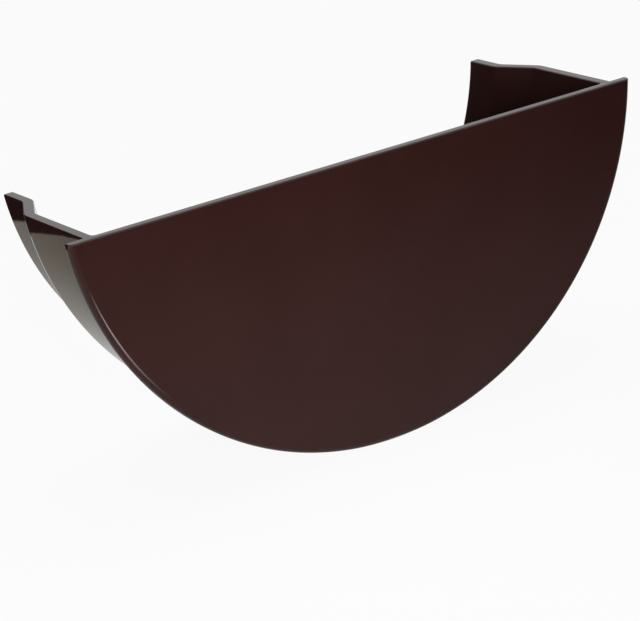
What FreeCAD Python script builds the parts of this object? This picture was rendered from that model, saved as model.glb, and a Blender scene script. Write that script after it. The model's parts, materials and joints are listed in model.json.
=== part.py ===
import FreeCAD, Part
import os
import Sketcher

# Half-round gutter end cap, moulded in one piece: a flat plate that closes the gutter's end,
# and behind it a half-round wall that goes into the gutter, stepped inward so that it enters easily.
# The frame: X across the gutter, +Y along the gutter away from the plate, +Z up.
# The origin lies on the axis of the round wall, on the plate's inner face, where the gutter's end stops.

# Driving dimensions in millimetres: name, value, meaning
SIZES = [
    ("spigot_radius", 54.3, "outer radius of the wall next to the plate, which fits the gutter"),
    ("spigot_length", 20.0, "length of the wall from the plate to the step"),
    ("step_depth", 3.6, "how far the wall steps inward"),
    ("step_length", 7.4, "length of the slanted step"),
    ("lead_length", 7.0, "length of the wall from the step to the open end"),
    ("wall", 1.9, "thickness of the wall"),
    ("axis_above_top", 6.5, "height of the round wall's axis above the flat top edges"),
    ("plate_thickness", 1.8, "thickness of the plate"),
    ("rim_overhang", 3.3, "how far the plate stands out past the wall, to cover the gutter's end"),
    ("rim_round", 1.1, "rounding of the plate's outer round edge"),
    ("bend_round", 3.0, "rounding of the wall's bends at the step"),
    ("root_round", 0.6, "rounding inside, where the wall meets the plate"),
    ("edge_bevel", 0.25, "bevel that takes the sharpness off the free edges"),
]

# Sizes that follow from the driving dimensions
PLATE_RADIUS = "sizes.spigot_radius + sizes.rim_overhang"
LEAD_RADIUS = "sizes.spigot_radius - sizes.step_depth"
SPIGOT_INSIDE = "sizes.spigot_radius - sizes.wall"
LEAD_INSIDE = f"{LEAD_RADIUS} - sizes.wall"
STEP_END = "sizes.spigot_length + sizes.step_length"
OPEN_END = f"{STEP_END} + sizes.lead_length"
BEND_SHIFT = "sizes.wall * tan(atan(sizes.step_depth / sizes.step_length) / 2)"
RIM_ROUND = "min(sizes.rim_round; sizes.plate_thickness - 2 * sizes.edge_bevel)"

# The wall's section as distances from the gutter's axis and from the plate's inner face.
# The step's inner corners lie nearer the plate, so that the slanted stretch is as thick as the rest.
ON_THE_PLATE = "0"
WALL_CORNERS = {
    "outer_root": ("sizes.spigot_radius", ON_THE_PLATE),
    "outer_step_start": ("sizes.spigot_radius", "sizes.spigot_length"),
    "outer_step_end": (LEAD_RADIUS, STEP_END),
    "outer_mouth": (LEAD_RADIUS, OPEN_END),
    "inner_mouth": (LEAD_INSIDE, OPEN_END),
    "inner_step_end": (LEAD_INSIDE, f"{STEP_END} - {BEND_SHIFT}"),
    "inner_step_start": (SPIGOT_INSIDE, f"sizes.spigot_length - {BEND_SHIFT}"),
    "inner_root": (SPIGOT_INSIDE, ON_THE_PLATE),
}

NODE = "end_cap"
HALF_TURN = 180
TOLERANCE = 1e-4

doc = FreeCAD.newDocument("gutter_end_cap")
body = doc.addObject("PartDesign::Body", "end_cap_body")
body.Label = NODE


def make_sheet():
    """Keeps the driving dimensions in a spreadsheet, one named cell each."""
    sheet = doc.addObject("Spreadsheet::Sheet", "sizes")
    for row, (alias, value, meaning) in enumerate(SIZES, start=1):
        sheet.set(f"A{row}", meaning)
        sheet.set(f"B{row}", str(value))
        sheet.setAlias(f"B{row}", alias)
    doc.recompute()


def value_of(expression):
    """Works out an expression of the sheet as a plain number."""
    return float(body.evalExpression(expression))


def corner_at(name):
    """The place of a corner of the wall's section, as plain numbers."""
    across, along = WALL_CORNERS[name]
    return value_of(across), value_of(along)


def new_sketch(name, role):
    """Starts a sketch on one of the body's own origin planes."""
    plane = next(feature for feature in body.Origin.OriginFeatures if feature.Role == role)
    sketch = body.newObject("Sketcher::SketchObject", name)
    sketch.AttachmentSupport = [(plane, "")]
    sketch.MapMode = "FlatFace"
    return sketch


def bind(sketch, expression, kind, *points):
    """Adds a dimension to a sketch and ties it to the sheet."""
    index = sketch.addConstraint(Sketcher.Constraint(kind, *points, value_of(expression)))
    sketch.setExpression(f"Constraints[{index}]", expression)


def add_polygon(sketch, points):
    """Draws a closed run of straight lines, joins their ends and gives their numbers."""
    corners = [FreeCAD.Vector(x, y, 0) for x, y in points]
    followers = corners[1:] + corners[:1]
    lines = [sketch.addGeometry(Part.LineSegment(*ends)) for ends in zip(corners, followers)]
    for line, follower in zip(lines, lines[1:] + lines[:1]):
        sketch.addConstraint(Sketcher.Constraint("Coincident", line, 2, follower, 1))
    return lines


def check_change(feature, before, grows):
    """Stops if a feature added nothing or cut nothing."""
    doc.recompute()
    change = feature.Shape.Volume - before
    if abs(change) < TOLERANCE or (change > 0) != grows:
        raise RuntimeError(f"{feature.Name} changed the volume by {change:.3f} cubic millimetres")


def make_plate():
    """The flat plate, on the outer side of the origin: a round outline cut off straight at the top."""
    sketch = new_sketch("plate_outline", "XZ_Plane")
    radius = value_of(PLATE_RADIUS)
    top_level = -value_of("sizes.axis_above_top")
    half_width = (radius**2 - top_level**2) ** 0.5
    left_end = FreeCAD.Vector(-half_width, top_level, 0)
    right_end = FreeCAD.Vector(half_width, top_level, 0)
    lowest = FreeCAD.Vector(0, -radius, 0)
    arc = sketch.addGeometry(Part.Arc(left_end, lowest, right_end))
    top = sketch.addGeometry(Part.LineSegment(right_end, left_end))
    sketch.addConstraint(Sketcher.Constraint("Coincident", arc, 3, -1, 1))
    sketch.addConstraint(Sketcher.Constraint("Coincident", arc, 1, top, 2))
    sketch.addConstraint(Sketcher.Constraint("Coincident", arc, 2, top, 1))
    sketch.addConstraint(Sketcher.Constraint("Horizontal", top))
    bind(sketch, PLATE_RADIUS, "Radius", arc)
    bind(sketch, "sizes.axis_above_top", "DistanceY", top, 1, -1, 1)
    plate = body.newObject("PartDesign::Pad", "plate")
    plate.Profile = sketch
    plate.setExpression("Length", "sizes.plate_thickness")
    doc.recompute()
    return plate


def make_wall(base):
    """The half-round wall with its inward step: its section turned half a turn about the gutter's axis."""
    sketch = new_sketch("wall_section", "XY_Plane")
    lines = add_polygon(sketch, [corner_at(name) for name in WALL_CORNERS])
    for line, (across, along) in zip(lines, WALL_CORNERS.values()):
        bind(sketch, across, "DistanceX", -1, 1, line, 1)
        if along == ON_THE_PLATE:
            sketch.addConstraint(Sketcher.Constraint("PointOnObject", line, 1, -1))
        else:
            bind(sketch, along, "DistanceY", -1, 1, line, 1)
    wall = body.newObject("PartDesign::Revolution", "wall")
    wall.Profile = sketch
    wall.ReferenceAxis = (sketch, ["V_Axis"])
    wall.Angle = HALF_TURN
    check_change(wall, base.Shape.Volume, grows=True)
    return wall


def make_flat_top(base):
    """Cuts the wall off level with the plate's straight top edge."""
    sketch = new_sketch("above_the_top", "XZ_Plane")
    reach = value_of(PLATE_RADIUS)
    low = -value_of("sizes.axis_above_top")
    high = low + reach
    outline = [(-reach, low), (reach, low), (reach, high), (-reach, high)]
    bottom, right, top, left = add_polygon(sketch, outline)
    sketch.addConstraint(Sketcher.Constraint("Symmetric", bottom, 1, bottom, 2, -2))
    sketch.addConstraint(Sketcher.Constraint("Vertical", right))
    sketch.addConstraint(Sketcher.Constraint("Horizontal", top))
    sketch.addConstraint(Sketcher.Constraint("Vertical", left))
    bind(sketch, "sizes.axis_above_top", "DistanceY", bottom, 1, -1, 1)
    bind(sketch, f"2 * ({PLATE_RADIUS})", "DistanceX", bottom, 1, bottom, 2)
    bind(sketch, PLATE_RADIUS, "DistanceY", right, 1, right, 2)
    cut = body.newObject("PartDesign::Pocket", "flat_top")
    cut.Profile = sketch
    cut.Type = "ThroughAll"
    cut.SideType = "Symmetric"
    check_change(cut, base.Shape.Volume, grows=False)
    return cut


def is_arc_at(edge, places):
    """Tells whether an edge is an arc about the gutter's axis at one of these places of the section."""
    curve = edge.Curve
    if not isinstance(curve, Part.Circle):
        return False
    for across, along in places:
        off_centre = curve.Center.distanceToPoint(FreeCAD.Vector(0, along, 0))
        if off_centre < TOLERANCE and abs(curve.Radius - across) < TOLERANCE:
            return True
    return False


def is_on_top(edge):
    """Tells whether an edge lies in the plane of the flat top."""
    level = -value_of("sizes.axis_above_top")
    heights = [vertex.Z for vertex in edge.Vertexes] + [edge.CenterOfMass.z]
    return all(abs(height - level) < TOLERANCE for height in heights)


def dress_edges(kind, name, base, size, test):
    """Rounds or bevels the edges of a feature that pass a test, by a size from the sheet."""
    numbered = enumerate(base.Shape.Edges, start=1)
    edges = [f"Edge{number}" for number, edge in numbered if test(edge)]
    if not edges:
        raise RuntimeError(f"{name} found no edge")
    feature = body.newObject(f"PartDesign::{kind}", name)
    feature.Base = (base, edges)
    feature.setExpression("Radius" if kind == "Fillet" else "Size", size)
    doc.recompute()
    return feature


def make_edges(base):
    """The edges: round at the wall's bends, its inner root and the plate's rim, bevelled where free."""
    bends = [corner_at(name) for name in WALL_CORNERS if "step" in name]
    root = [corner_at("inner_root")]
    rim_radius = value_of(PLATE_RADIUS)
    rim_front = [(rim_radius, -value_of("sizes.plate_thickness"))]
    free_arcs = [corner_at("outer_mouth"), corner_at("inner_mouth"), (rim_radius, 0)]
    base = dress_edges("Fillet", "bends", base, "sizes.bend_round", lambda edge: is_arc_at(edge, bends))
    base = dress_edges("Fillet", "inner_root", base, "sizes.root_round", lambda edge: is_arc_at(edge, root))
    base = dress_edges("Fillet", "rim", base, RIM_ROUND, lambda edge: is_arc_at(edge, rim_front))
    return dress_edges(
        "Chamfer",
        "free_edges",
        base,
        "sizes.edge_bevel",
        lambda edge: is_on_top(edge) or is_arc_at(edge, free_arcs),
    )


def check_document():
    """Stops if any object failed, or if the part isn't one sound solid."""
    for item in doc.Objects:
        if "Invalid" in item.State or "Error" in item.State:
            raise RuntimeError(f"{item.Name} failed: {item.State}")
    shape = body.Shape
    if shape.isNull() or not shape.isValid() or len(shape.Solids) != 1:
        raise RuntimeError(f"{body.Label} is not one sound solid")


make_sheet()
make_edges(make_flat_top(make_wall(make_plate())))
doc.recompute()
check_document()
os.makedirs("parts", exist_ok=True)
body.Shape.exportStep(f"parts/{body.Label}.step")
print(body.Label, body.Shape.optimalBoundingBox(), f"{body.Shape.Volume:.1f} cubic millimetres")
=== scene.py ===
import json
import math

import bmesh
import bpy
from mathutils import Matrix, Vector


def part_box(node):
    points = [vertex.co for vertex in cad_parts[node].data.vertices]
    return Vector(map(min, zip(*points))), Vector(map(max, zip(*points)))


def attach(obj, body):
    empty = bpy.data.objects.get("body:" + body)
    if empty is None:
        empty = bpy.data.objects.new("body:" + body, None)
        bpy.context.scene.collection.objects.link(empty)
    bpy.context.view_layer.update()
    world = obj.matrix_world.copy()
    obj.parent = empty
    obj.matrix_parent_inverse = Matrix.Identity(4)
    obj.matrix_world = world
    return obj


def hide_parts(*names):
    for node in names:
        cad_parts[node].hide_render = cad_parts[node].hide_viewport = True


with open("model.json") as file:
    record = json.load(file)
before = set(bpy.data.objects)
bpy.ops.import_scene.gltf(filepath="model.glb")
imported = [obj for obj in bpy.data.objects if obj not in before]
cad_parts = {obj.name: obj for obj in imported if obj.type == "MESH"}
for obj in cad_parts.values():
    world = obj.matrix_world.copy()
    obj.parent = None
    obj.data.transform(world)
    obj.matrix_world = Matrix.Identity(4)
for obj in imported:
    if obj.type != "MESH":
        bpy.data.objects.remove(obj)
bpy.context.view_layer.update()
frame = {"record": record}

NODE = "end_cap"
BODY = "root"
MM = 0.001
low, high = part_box(NODE)
mounts = {mount["name"]: mount for mount in frame["record"]["mounts"]}

# The cap's sizes in metres: those that the frame gives, then those of the moulding's section
TOP_LEVEL = high[2]
FRONT_FACE = low[1]
OPEN_END = high[1]
FLOOR_LEVEL = low[2]
SPIGOT_RADIUS = mounts["gutter_spigot"]["dims"]["r_mm"] * MM
SPIGOT_LENGTH = mounts["gutter_spigot"]["dims"]["length_mm"] * MM
RIM_OVERHANG = 3.3 * MM
WALL = 1.9 * MM
STEP_DEPTH = 3.6 * MM
STEP_LENGTH = 7.4 * MM
RIM_ROUND = 1.1 * MM
BEND_ROUND = 3.0 * MM
ROOT_ROUND = 0.6 * MM
MOUTH_ROUND = 0.3 * MM
TOP_ROUND = 0.25 * MM
FACE_MARGIN = 0.5 * MM

PLATE_RADIUS = SPIGOT_RADIUS + RIM_OVERHANG
LEAD_RADIUS = SPIGOT_RADIUS - STEP_DEPTH
STEP_END = SPIGOT_LENGTH + STEP_LENGTH
BEND_SHIFT = WALL * math.tan(math.atan(STEP_DEPTH / STEP_LENGTH) / 2)

# How finely the mesh follows the shape, and the angle in degrees from which an edge shows as sharp
SWEEP_STEPS = 180
TOP_STEPS = 4
DEGREES_PER_STEP = 9
FEWEST_ARC_STEPS = 2
SHARP_ANGLE = 40

# The camera, in the part's frame: it looks along the azimuth from +Y towards +X, and down by the elevation
CAMERA_AZIMUTH = 31.294
CAMERA_ELEVATION = 18.928
CAMERA_ROLL = -7.065
CAMERA_DISTANCE = 473.69 * MM
CAMERA_AIM = Vector((-11.698, 0, -30.91)) * MM
CAMERA_LENS = 157.80
CAMERA_NEAREST = 10 * MM
SENSOR_WIDTH = 36.0

# The plastic: its two shades of brown, its gloss, and the sizes of its grains and bumps in metres
PLASTIC_DARK = (0.0315, 0.0111, 0.0098, 1)
PLASTIC_LIGHT = (0.0355, 0.0130, 0.0115, 1)
PLASTIC_IOR = 1.5
CLOUD_GRAIN = 18 * MM
CLOUD_DETAIL = 4.0
GLOSSY = 0.04
LESS_GLOSSY = 0.08
POLISH_GRAIN = 6 * MM
POLISH_DETAIL = 5.0
POLISH_HARSHNESS = 0.6
WAVE_GRAIN = 22 * MM
WAVE_DETAIL = 0.0
WAVE_HEIGHT = 0.02 * MM
SKIN_GRAIN = 0.8 * MM
SKIN_DETAIL = 1.0
SKIN_HEIGHT = 0.001 * MM

# The part of a noise's range that is stretched, and how harsh a noise is if nothing else is said
NOISE_LOW = 0.3
NOISE_HIGH = 0.7
NOISE_HARSHNESS = 0.5

# The studio's floor, its surround and its lamps, each with its level of white and its spread in degrees
FLOOR_SIZE = 6.0
FLOOR_COLOUR = (0.80, 0.80, 0.80, 1)
FLOOR_WHITE_SHARE = 0.93
AMBIENT_LEVEL = 0.20
KEY_PLACE = Vector((-120, -270, 30)) * MM
KEY_AIM = Vector((-30, 0, -44)) * MM
KEY_SIZE = 100 * MM
KEY_LEVEL = 1.19
KEY_SPREAD = 60
OVERHEAD_PLACE = Vector((0, 100, 1000)) * MM
OVERHEAD_AIM = Vector((0, 0, FLOOR_LEVEL))
OVERHEAD_SIZE = 800 * MM
OVERHEAD_LEVEL = 0.4
OVERHEAD_SPREAD = 179

# The studio's cards: glowing sheets that light nothing and show only as reflections, so they paint the
# cap's reflections; their fades are at both ends, the near and the far edge
CARD_LIFT = 0.5 * MM
WHITE = (1, 1, 1)
WARM_WHITE = (1, 0.92, 0.74)
ROSY_WHITE = (1, 0.88, 0.86)

# The wide dark card in front of the plate, whose painted reflection gives the plate's face a faint sheen;
# it gets darker towards the front
FRONT_CARD_WIDTH = 900 * MM
FRONT_CARD_DEPTH = 620 * MM
FRONT_CARD_MIDDLE = Vector((150, -294, 0)) * MM
FRONT_CARD_LIFTS = 1
FRONT_CARD_FADES = (150 * MM, 150 * MM, 20 * MM)
FRONT_CARD_DARKENS = Vector((1, -3, 0)).normalized()
FRONT_CARD_REACH = 162 * MM
FRONT_CARD_GLOW = 0.25
FRONT_CARD_DARKEST = 0.0

# The warm round shade on the left behind, a glowing patch dimmer than the floor that paints a warm floor
# reflection on the cap's left wall
SHADE_MIDDLE = Vector((-120, 85, 0)) * MM
SHADE_LIFTS = 2
SHADE_FULL = 40 * MM
SHADE_END = 105 * MM
SHADE_GLOW = 0.55

# The grey card on the left, whose far edge slants away from the cap's foot; it paints the dark reflection
# in the plate's rounded rim
LEFT_CARD_WIDTH = 283 * MM
LEFT_CARD_DEPTH = 130 * MM
LEFT_CARD_MIDDLE = Vector((-156, 78, 0)) * MM
LEFT_CARD_LIFTS = 3
LEFT_CARD_TURN = -45
LEFT_CARD_FADES = (30 * MM, 90 * MM, 7 * MM)
LEFT_CARD_GLOW = 0.33

# The bright strip on the left in front, which the rounded rim shows as a glint: a painted highlight, as the
# strip glows but lights nothing
GLINT_WIDTH = 58 * MM
GLINT_DEPTH = 40 * MM
GLINT_MIDDLE = Vector((-50, -58, 0)) * MM
GLINT_LIFTS = 4
GLINT_TURN = 68
GLINT_FADES = (28 * MM, 18 * MM, 18 * MM)
GLINT_GLOW = 8.0

# The dark flag that stands behind on the left, with its near edge as its foot; it blocks no light and
# paints dark reflections on the cap's walls
FLAG_WIDTH = 360 * MM
FLAG_HEIGHT = 200 * MM
FLAG_FOOT = Vector((-161, 76.5, 0)) * MM
FLAG_LIFTS = 0
FLAG_TURN = 30
FLAG_TILT = 90
FLAG_FADES = (40 * MM, 0.5 * MM, 65 * MM)
FLAG_GLOW = 0.012


def round_corners(corners):
    """Turns corners of (distance from the axis, distance along, rounding) into a path with arcs."""
    points = []
    for index, (across, along, rounding) in enumerate(corners):
        corner = Vector((across, along))
        if not rounding:
            points.append(corner)
            continue
        before = Vector(corners[index - 1][:2]) - corner
        after = Vector(corners[index + 1][:2]) - corner
        before.normalize()
        after.normalize()
        half_angle = before.angle(after) / 2
        turn = math.pi - 2 * half_angle
        start = corner + before * rounding / math.tan(half_angle)
        middle = corner + (before + after).normalized() * rounding / math.sin(half_angle)
        steps = max(FEWEST_ARC_STEPS, round(math.degrees(turn) / DEGREES_PER_STEP))
        way = 1 if before.x * after.y - before.y * after.x < 0 else -1
        for step in range(steps + 1):
            swing = Matrix.Rotation(way * turn * step / steps, 2)
            points.append(middle + swing @ (start - middle))
    return points


def section_points():
    """The section from the plate's outer face, round the rim and the wall, to the plate's inner face."""
    spigot_inside = SPIGOT_RADIUS - WALL
    lead_inside = LEAD_RADIUS - WALL
    return round_corners([
        (PLATE_RADIUS - RIM_ROUND - FACE_MARGIN, FRONT_FACE, 0),
        (PLATE_RADIUS, FRONT_FACE, RIM_ROUND),
        (PLATE_RADIUS, 0, MOUTH_ROUND),
        (SPIGOT_RADIUS, 0, 0),
        (SPIGOT_RADIUS, SPIGOT_LENGTH, BEND_ROUND),
        (LEAD_RADIUS, STEP_END, BEND_ROUND),
        (LEAD_RADIUS, OPEN_END, MOUTH_ROUND),
        (lead_inside, OPEN_END, MOUTH_ROUND),
        (lead_inside, STEP_END - BEND_SHIFT, BEND_ROUND),
        (spigot_inside, SPIGOT_LENGTH - BEND_SHIFT, BEND_ROUND),
        (spigot_inside, 0, ROOT_ROUND),
        (spigot_inside - ROOT_ROUND - FACE_MARGIN, 0, 0),
    ])


def inward_shifts(points):
    """For each point of the section, the move that thins the moulding there by one unit on every side."""
    shifts = []
    for index, point in enumerate(points):
        before = points[max(index - 1, 0)]
        after = points[min(index + 1, len(points) - 1)]
        arriving = point - before if index else after - point
        leaving = after - point if index < len(points) - 1 else arriving
        first = Vector((-arriving.y, arriving.x)).normalized()
        second = Vector((-leaving.y, leaving.x)).normalized()
        shifts.append((first + second) / (1 + first.dot(second)))
    return shifts


class CapMesh:
    """The cap's vertices and faces: the section swept round the axis and rounded into the flat top."""

    def __init__(self):
        self.mesh = bmesh.new()
        self.section = section_points()
        self.shifts = inward_shifts(self.section)
        turns = [step * math.pi / 2 / TOP_STEPS for step in range(TOP_STEPS + 1)]
        self.heights = [TOP_LEVEL - TOP_ROUND * (1 - math.sin(turn)) for turn in turns]
        self.insets = [TOP_ROUND * (1 - math.cos(turn)) for turn in turns]

    def vertex(self, x, y, z):
        """A new vertex at this place."""
        return self.mesh.verts.new((x, y, z))

    def face(self, *vertices):
        """A new face, unless too few of its vertices differ."""
        distinct = list(dict.fromkeys(vertices))
        if len(distinct) > 2:
            self.mesh.faces.new(distinct)

    def sweep_line(self, point):
        """The vertices of one point of the section, from the left top to the right top."""
        end = math.asin(-self.heights[0] / point.x)
        sweep = math.pi - 2 * end
        angles = [math.pi + end + sweep * step / SWEEP_STEPS for step in range(SWEEP_STEPS + 1)]
        return [self.vertex(point.x * math.cos(a), point.y, point.x * math.sin(a)) for a in angles]

    def top_line(self, point, shift, side, start):
        """The vertices of one point of the section where it rounds into the flat top, on one side."""
        line = [start]
        for height, inset in list(zip(self.heights, self.insets))[1:]:
            moved = point + shift * inset
            across = side * math.sqrt(moved.x**2 - height**2)
            line.append(self.vertex(across, moved.y, height))
        return line

    def strip(self, first, second):
        """Faces between two lines of as many vertices."""
        for index in range(len(first) - 1):
            self.face(first[index], first[index + 1], second[index + 1], second[index])

    def flat_face(self, sweep, left, right, along, inward):
        """Fills one of the plate's flat faces up to its straight top edge, and returns that edge."""
        rows = [[left[level]] for level in range(TOP_STEPS + 1)]
        for vertex in sweep[1:-1]:
            for row, height, inset in zip(rows, self.heights, self.insets):
                row.append(self.vertex(vertex.co.x, along + inward * inset, height))
        for level, row in enumerate(rows):
            row.append(right[level])
        self.strip(sweep, rows[0])
        for lower, upper in zip(rows, rows[1:]):
            self.strip(lower, upper)
        return rows[-1]

    def build(self):
        """Makes the whole closed surface and returns it."""
        sweeps = [self.sweep_line(point) for point in self.section]
        lefts, rights = [], []
        for point, shift, sweep in zip(self.section, self.shifts, sweeps):
            lefts.append(self.top_line(point, shift, -1, sweep[0]))
            rights.append(self.top_line(point, shift, 1, sweep[-1]))
        for lines in (sweeps, lefts, rights):
            for first, second in zip(lines, lines[1:]):
                self.strip(first, second)
        front = self.flat_face(sweeps[0], lefts[0], rights[0], FRONT_FACE, 1)
        back = self.flat_face(sweeps[-1], lefts[-1], rights[-1], 0, -1)
        self.strip(front, back)
        wall_tops = ((lefts, front[0], back[0]), (rights, front[-1], back[-1]))
        for lines, front_corner, back_corner in wall_tops:
            around = [line[-1] for line in lines[1:-1]]
            self.face(front_corner, *around, back_corner)
        bmesh.ops.recalc_face_normals(self.mesh, faces=self.mesh.faces)
        return self.mesh


def make_cap():
    """The moulded cap as a fine mesh in place of the plain solid."""
    surface = CapMesh().build()
    for face in surface.faces:
        face.smooth = True
    for edge in surface.edges:
        edge.smooth = edge.calc_face_angle(0) < math.radians(SHARP_ANGLE)
    data = bpy.data.meshes.new("moulded_cap")
    surface.to_mesh(data)
    surface.free()
    cap = bpy.data.objects.new("moulded_cap", data)
    bpy.context.scene.collection.objects.link(cap)
    evened = cap.modifiers.new("even_shading", "WEIGHTED_NORMAL")
    evened.keep_sharp = True
    cap.data.materials.append(plastic())
    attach(cap, BODY)
    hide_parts(NODE)


def new_tree(name):
    """A new material and its emptied node tree."""
    material = bpy.data.materials.new(name)
    material.use_nodes = True
    material.node_tree.nodes.clear()
    return material, material.node_tree


def add_node(tree, kind, values=None, **settings):
    """Adds a node with its settings and the values of its inputs."""
    node = tree.nodes.new(kind)
    for name, value in settings.items():
        setattr(node, name, value)
    for name, value in (values or {}).items():
        node.inputs[name].default_value = value
    return node


def add_noise(tree, grain, detail, harshness=NOISE_HARSHNESS):
    """Noise that follows the object, with grains of about this size in metres."""
    place = add_node(tree, "ShaderNodeTexCoord")
    noise = add_node(tree, "ShaderNodeTexNoise", {
        "Scale": 1 / grain,
        "Detail": detail,
        "Roughness": harshness,
    })
    tree.links.new(place.outputs["Object"], noise.inputs["Vector"])
    return noise.outputs["Fac"]


def add_range(tree, source, low_value, high_value, start=NOISE_LOW, stop=NOISE_HIGH):
    """Stretches a noise or mask to run between two values."""
    stretch = add_node(tree, "ShaderNodeMapRange", {
        "From Min": start,
        "From Max": stop,
        "To Min": low_value,
        "To Max": high_value,
    })
    tree.links.new(source, stretch.inputs["Value"])
    return stretch.outputs["Result"]


def add_bump(tree, source, height, before=None):
    """Bump of this height in metres, on top of another bump."""
    bump = add_node(tree, "ShaderNodeBump", {"Strength": 1.0, "Distance": height})
    tree.links.new(source, bump.inputs["Height"])
    if before:
        tree.links.new(before, bump.inputs["Normal"])
    return bump.outputs["Normal"]


def plastic():
    """Glossy dark brown moulded plastic, slightly cloudy in colour, faintly wavy and with a fine skin."""
    material, tree = new_tree("brown_plastic")
    shader = add_node(tree, "ShaderNodeBsdfPrincipled", {"IOR": PLASTIC_IOR})
    output = add_node(tree, "ShaderNodeOutputMaterial")
    shade = add_node(tree, "ShaderNodeMix", data_type="RGBA")
    shade.inputs["A"].default_value = PLASTIC_DARK
    shade.inputs["B"].default_value = PLASTIC_LIGHT
    clouds = add_range(tree, add_noise(tree, CLOUD_GRAIN, CLOUD_DETAIL), 0, 1)
    tree.links.new(clouds, shade.inputs["Factor"])
    tree.links.new(shade.outputs["Result"], shader.inputs["Base Color"])
    smears = add_noise(tree, POLISH_GRAIN, POLISH_DETAIL, POLISH_HARSHNESS)
    polish = add_range(tree, smears, GLOSSY, LESS_GLOSSY)
    tree.links.new(polish, shader.inputs["Roughness"])
    waves = add_bump(tree, add_noise(tree, WAVE_GRAIN, WAVE_DETAIL), WAVE_HEIGHT)
    skin = add_bump(tree, add_noise(tree, SKIN_GRAIN, SKIN_DETAIL), SKIN_HEIGHT, waves)
    tree.links.new(skin, shader.inputs["Normal"])
    tree.links.new(shader.outputs["BSDF"], output.inputs["Surface"])
    return material


def add_seen_mask(tree):
    """One for rays from the camera, mirrors and glass, and nothing for rays that light things."""
    path = add_node(tree, "ShaderNodeLightPath")
    total = path.outputs["Is Camera Ray"]
    for kind in ("Is Glossy Ray", "Is Transmission Ray"):
        adder = add_node(tree, "ShaderNodeMath", operation="ADD", use_clamp=True)
        tree.links.new(total, adder.inputs[0])
        tree.links.new(path.outputs[kind], adder.inputs[1])
        total = adder.outputs[0]
    return total


def floor_white():
    """White paper: most of what is seen of it is plain white, and the rest takes light and shadow."""
    material, tree = new_tree("floor_white")
    output = add_node(tree, "ShaderNodeOutputMaterial")
    paper = add_node(tree, "ShaderNodeBsdfDiffuse", {"Color": FLOOR_COLOUR})
    white = add_node(tree, "ShaderNodeEmission", {"Strength": 1.0})
    mix = add_node(tree, "ShaderNodeMixShader")
    share = add_node(tree, "ShaderNodeMath", {1: FLOOR_WHITE_SHARE}, operation="MULTIPLY")
    tree.links.new(add_seen_mask(tree), share.inputs[0])
    tree.links.new(share.outputs[0], mix.inputs["Fac"])
    tree.links.new(paper.outputs["BSDF"], mix.inputs[1])
    tree.links.new(white.outputs["Emission"], mix.inputs[2])
    tree.links.new(mix.outputs["Shader"], output.inputs["Surface"])
    return material


def add_plane(name, width, depth, place, turn=0.0, tilt=0.0):
    """A flat sheet of the studio, turned about the upright and standing up by its tilt, in degrees."""
    surface = bmesh.new()
    corners = [(-width / 2, 0), (width / 2, 0), (width / 2, depth), (-width / 2, depth)]
    surface.faces.new([surface.verts.new((x, y, 0)) for x, y in corners])
    data = bpy.data.meshes.new(name)
    surface.to_mesh(data)
    surface.free()
    sheet = bpy.data.objects.new(name, data)
    bpy.context.scene.collection.objects.link(sheet)
    sheet.location = place
    sheet.rotation_euler = (math.radians(tilt), 0, math.radians(turn))
    return sheet


def make_floor():
    """A pale floor under the cap, wide enough to fill the picture."""
    floor = add_plane("floor", FLOOR_SIZE, FLOOR_SIZE, (0, -FLOOR_SIZE / 2, FLOOR_LEVEL))
    floor.data.materials.append(floor_white())


def add_card(name, width, depth, place, glow, turn=0.0, tilt=0.0, colour=WHITE):
    """A studio card that shows only as a reflection in the cap: a glowing sheet that lights nothing and
    paints a reflection. Gives its tree, its glow and its cover.
    """
    sheet = add_plane(name, width, depth, place, turn, tilt)
    material, tree = new_tree(name)
    output = add_node(tree, "ShaderNodeOutputMaterial")
    clear = add_node(tree, "ShaderNodeBsdfTransparent")
    shine = add_node(tree, "ShaderNodeEmission", {"Color": (*colour, 1), "Strength": glow})
    cover = add_node(tree, "ShaderNodeMixShader", {"Fac": 1.0})
    tree.links.new(clear.outputs["BSDF"], cover.inputs[1])
    tree.links.new(shine.outputs["Emission"], cover.inputs[2])
    tree.links.new(cover.outputs["Shader"], output.inputs["Surface"])
    sheet.data.materials.append(material)
    sheet.visible_camera = False
    sheet.visible_diffuse = False
    sheet.visible_shadow = False
    return tree, shine, cover


def fade_edges(tree, cover, width, depth, ends, near, far):
    """Lets a card fade away over these distances at both its ends, at its near edge and at its far edge."""
    place = add_node(tree, "ShaderNodeTexCoord")
    split = add_node(tree, "ShaderNodeSeparateXYZ")
    tree.links.new(place.outputs["Object"], split.inputs[0])
    sideways = add_node(tree, "ShaderNodeMath", operation="ABSOLUTE")
    tree.links.new(split.outputs["X"], sideways.inputs[0])
    mask = add_range(tree, sideways.outputs[0], 1, 0, width / 2 - ends, width / 2)
    near_mask = add_range(tree, split.outputs["Y"], 0, 1, 0, near)
    far_mask = add_range(tree, split.outputs["Y"], 1, 0, depth - far, depth)
    for edge_mask in (near_mask, far_mask):
        product = add_node(tree, "ShaderNodeMath", operation="MULTIPLY")
        tree.links.new(mask, product.inputs[0])
        tree.links.new(edge_mask, product.inputs[1])
        mask = product.outputs[0]
    tree.links.new(mask, cover.inputs["Fac"])


def shade_along(tree, shine, direction, reach, near, far):
    """Lets a card's strength change from near to far, over a reach along a direction from the axis."""
    place = add_node(tree, "ShaderNodeNewGeometry")
    along = add_node(tree, "ShaderNodeVectorMath", {1: direction}, operation="DOT_PRODUCT")
    tree.links.new(place.outputs["Position"], along.inputs[0])
    strength = add_range(tree, along.outputs["Value"], near, far, 0, reach)
    tree.links.new(strength, shine.inputs["Strength"])


def on_floor(place, lifts):
    """A place on the floor, raised by so many lifts to lie above the cards that are lower."""
    return Vector((place.x, place.y, FLOOR_LEVEL + lifts * CARD_LIFT))


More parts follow.
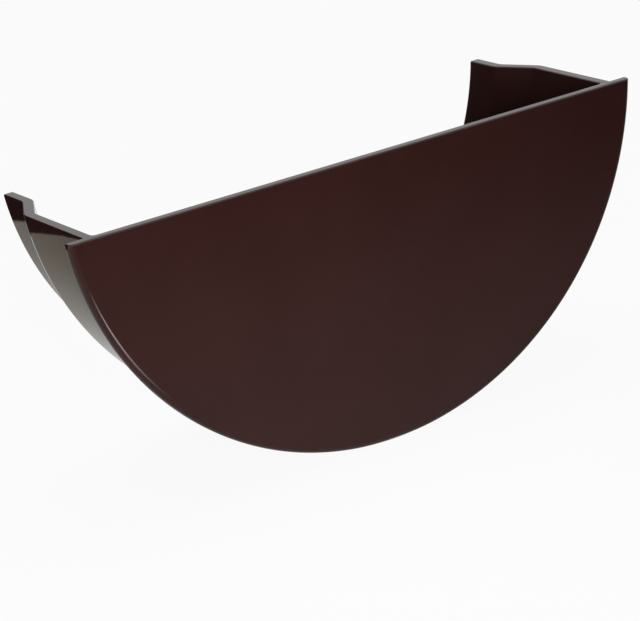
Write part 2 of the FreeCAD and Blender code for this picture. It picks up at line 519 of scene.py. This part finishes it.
def add_soft_card(name, width, depth, middle, fades, glow, lifts, turn=0.0, colour=WHITE):
    """A card that lies on the floor about a middle and fades away towards its ends and its edges."""
    inward = Matrix.Rotation(math.radians(turn), 3, "Z") @ Vector((0, 1, 0))
    place = on_floor(middle - inward * depth / 2, lifts)
    tree, shine, cover = add_card(name, width, depth, place, glow, turn, colour=colour)
    fade_edges(tree, cover, width, depth, *fades)
    return tree, shine


def make_front_card():
    """The wide dark card in front of the plate, which paints the faint sheen reflected on the plate's face.
    """
    tree, shine = add_soft_card(
        "front_card",
        FRONT_CARD_WIDTH,
        FRONT_CARD_DEPTH,
        FRONT_CARD_MIDDLE,
        FRONT_CARD_FADES,
        FRONT_CARD_GLOW,
        FRONT_CARD_LIFTS,
    )
    shade_along(tree, shine, FRONT_CARD_DARKENS, FRONT_CARD_REACH, FRONT_CARD_GLOW, FRONT_CARD_DARKEST)


def make_warm_shade():
    """The warm round shade, a painted floor reflection for the cap's left wall, which is even near its
    middle and fades away from there on.
    """
    place = on_floor(SHADE_MIDDLE - Vector((0, SHADE_END, 0)), SHADE_LIFTS)
    width = 2 * SHADE_END
    tree, _, cover = add_card("warm_shade", width, width, place, SHADE_GLOW, colour=WARM_WHITE)
    spot = add_node(tree, "ShaderNodeTexCoord")
    away = add_node(tree, "ShaderNodeVectorMath", {1: (0, SHADE_END, 0)}, operation="DISTANCE")
    tree.links.new(spot.outputs["Object"], away.inputs[0])
    mask = add_range(tree, away.outputs["Value"], 1, 0, SHADE_FULL, SHADE_END)
    tree.links.new(mask, cover.inputs["Fac"])


def make_left_card():
    """The grey card on the left, which paints the dark reflection in the plate's rim."""
    add_soft_card(
        "left_card",
        LEFT_CARD_WIDTH,
        LEFT_CARD_DEPTH,
        LEFT_CARD_MIDDLE,
        LEFT_CARD_FADES,
        LEFT_CARD_GLOW,
        LEFT_CARD_LIFTS,
        LEFT_CARD_TURN,
    )


def make_glint():
    """The bright strip on the left in front, which paints the rim's glint."""
    add_soft_card(
        "glint",
        GLINT_WIDTH,
        GLINT_DEPTH,
        GLINT_MIDDLE,
        GLINT_FADES,
        GLINT_GLOW,
        GLINT_LIFTS,
        GLINT_TURN,
        ROSY_WHITE,
    )


def make_flag():
    """The dark flag that stands behind, which paints dark reflections on the cap's walls."""
    foot = on_floor(FLAG_FOOT, FLAG_LIFTS)
    tree, _, cover = add_card("back_flag", FLAG_WIDTH, FLAG_HEIGHT, foot, FLAG_GLOW, FLAG_TURN, FLAG_TILT)
    fade_edges(tree, cover, FLAG_WIDTH, FLAG_HEIGHT, *FLAG_FADES)


def make_cards():
    """The cards round the glossy cap that paint its reflections: some lie round it and a dark one stands
    behind.
    """
    make_front_card()
    make_warm_shade()
    make_left_card()
    make_glint()
    make_flag()


def make_world():
    """A white surround that lights the cap softly."""
    world = bpy.data.worlds.new("studio")
    bpy.context.scene.world = world
    world.use_nodes = True
    tree = world.node_tree
    tree.nodes.clear()
    output = add_node(tree, "ShaderNodeOutputWorld")
    background = add_node(tree, "ShaderNodeBackground")
    strength = add_range(tree, add_seen_mask(tree), AMBIENT_LEVEL, 1.0, 0, 1)
    tree.links.new(strength, background.inputs["Strength"])
    tree.links.new(background.outputs["Background"], output.inputs["Surface"])


def add_softbox(name, place, aim, size, level, spread):
    """A square soft lamp that lights a surface facing it, where it aims, to this level of white."""
    reach = aim - place
    half_spread = math.radians(spread) / 2
    # A narrower spread gathers the lamp's light ahead, by this factor
    gathering = math.tan(half_spread) / (math.tan(half_spread) - half_spread)
    lamp = bpy.data.lights.new(name, "AREA")
    lamp.size = size
    lamp.spread = 2 * half_spread
    lamp.energy = level * math.pi**2 * reach.length_squared / gathering
    softbox = bpy.data.objects.new(name, lamp)
    bpy.context.scene.collection.objects.link(softbox)
    softbox.location = place
    softbox.rotation_euler = reach.to_track_quat("-Z", "Y").to_euler()
    softbox.visible_glossy = False


def make_lamps():
    """Soft light on the plate's outer face from in front, and on the floor from above."""
    add_softbox("key", KEY_PLACE, KEY_AIM, KEY_SIZE, KEY_LEVEL, KEY_SPREAD)
    add_softbox("overhead", OVERHEAD_PLACE, OVERHEAD_AIM, OVERHEAD_SIZE, OVERHEAD_LEVEL, OVERHEAD_SPREAD)


def make_camera():
    """The camera at the photograph's angle."""
    azimuth = math.radians(CAMERA_AZIMUTH)
    elevation = math.radians(CAMERA_ELEVATION)
    roll = math.radians(CAMERA_ROLL)
    ahead = Vector((
        math.sin(azimuth) * math.cos(elevation),
        math.cos(azimuth) * math.cos(elevation),
        -math.sin(elevation),
    ))
    level = Vector((math.cos(azimuth), -math.sin(azimuth), 0))
    upright = level.cross(ahead)
    right = level * math.cos(roll) + upright * math.sin(roll)
    up = upright * math.cos(roll) - level * math.sin(roll)
    data = bpy.data.cameras.new("camera")
    data.sensor_fit = "HORIZONTAL"
    data.sensor_width = SENSOR_WIDTH
    data.lens = CAMERA_LENS
    data.clip_start = CAMERA_NEAREST
    camera = bpy.data.objects.new("camera", data)
    bpy.context.scene.collection.objects.link(camera)
    turn = Matrix((right, up, -ahead)).transposed().to_4x4()
    camera.matrix_world = Matrix.Translation(CAMERA_AIM - ahead * CAMERA_DISTANCE) @ turn
    bpy.context.scene.camera = camera


bpy.context.scene.view_settings.view_transform = "Standard"
make_cap()
make_floor()
make_cards()
make_world()
make_lamps()
make_camera()
